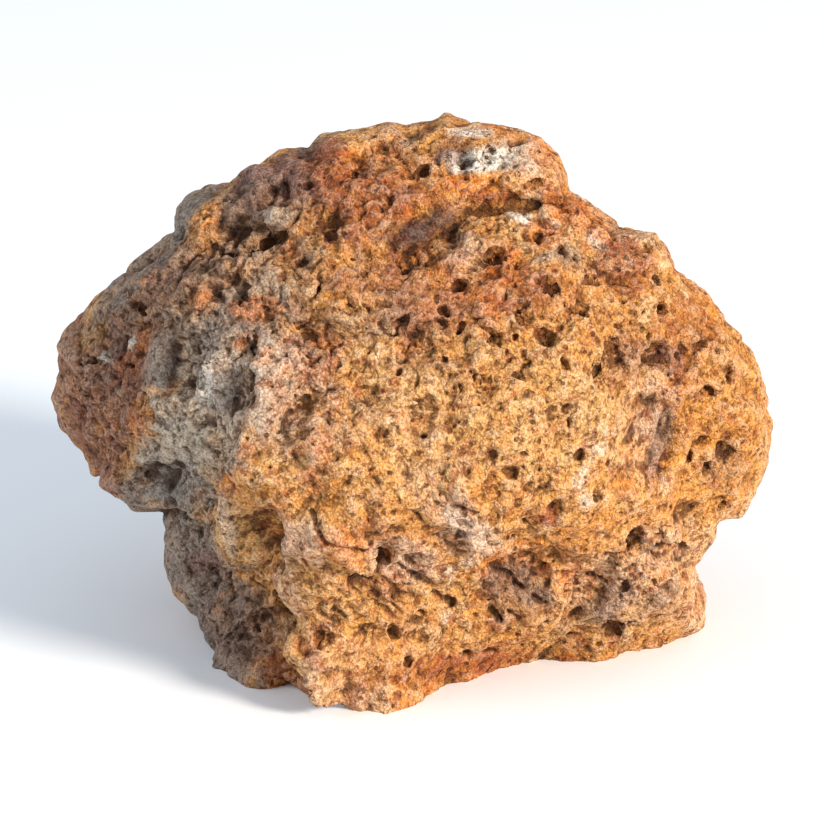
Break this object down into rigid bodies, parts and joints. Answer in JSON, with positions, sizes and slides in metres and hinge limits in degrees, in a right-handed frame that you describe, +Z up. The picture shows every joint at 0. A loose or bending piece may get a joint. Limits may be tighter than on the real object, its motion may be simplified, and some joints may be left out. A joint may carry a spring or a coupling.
{
  "type": "tufa rock",
  "caption": "Rugged, pitted boulder of porous tufa with an overhanging waist and a flat underside, for resting on the ground in a rockery or a planting.",
  "frame": {"origin": "on the ground, under the middle of the stone's bounding box", "axes": "+X to the right across the front, which is the stone's longest way; +Y away from the front; +Z up"},
  "size_m": [0.3032, 0.227, 0.225],
  "materials": {
    "tufa": "rough, porous and unpolished"
  },
  "bodies": {
    "root": {"tufa_rock": "tufa"}
  },
  "joints": []
}
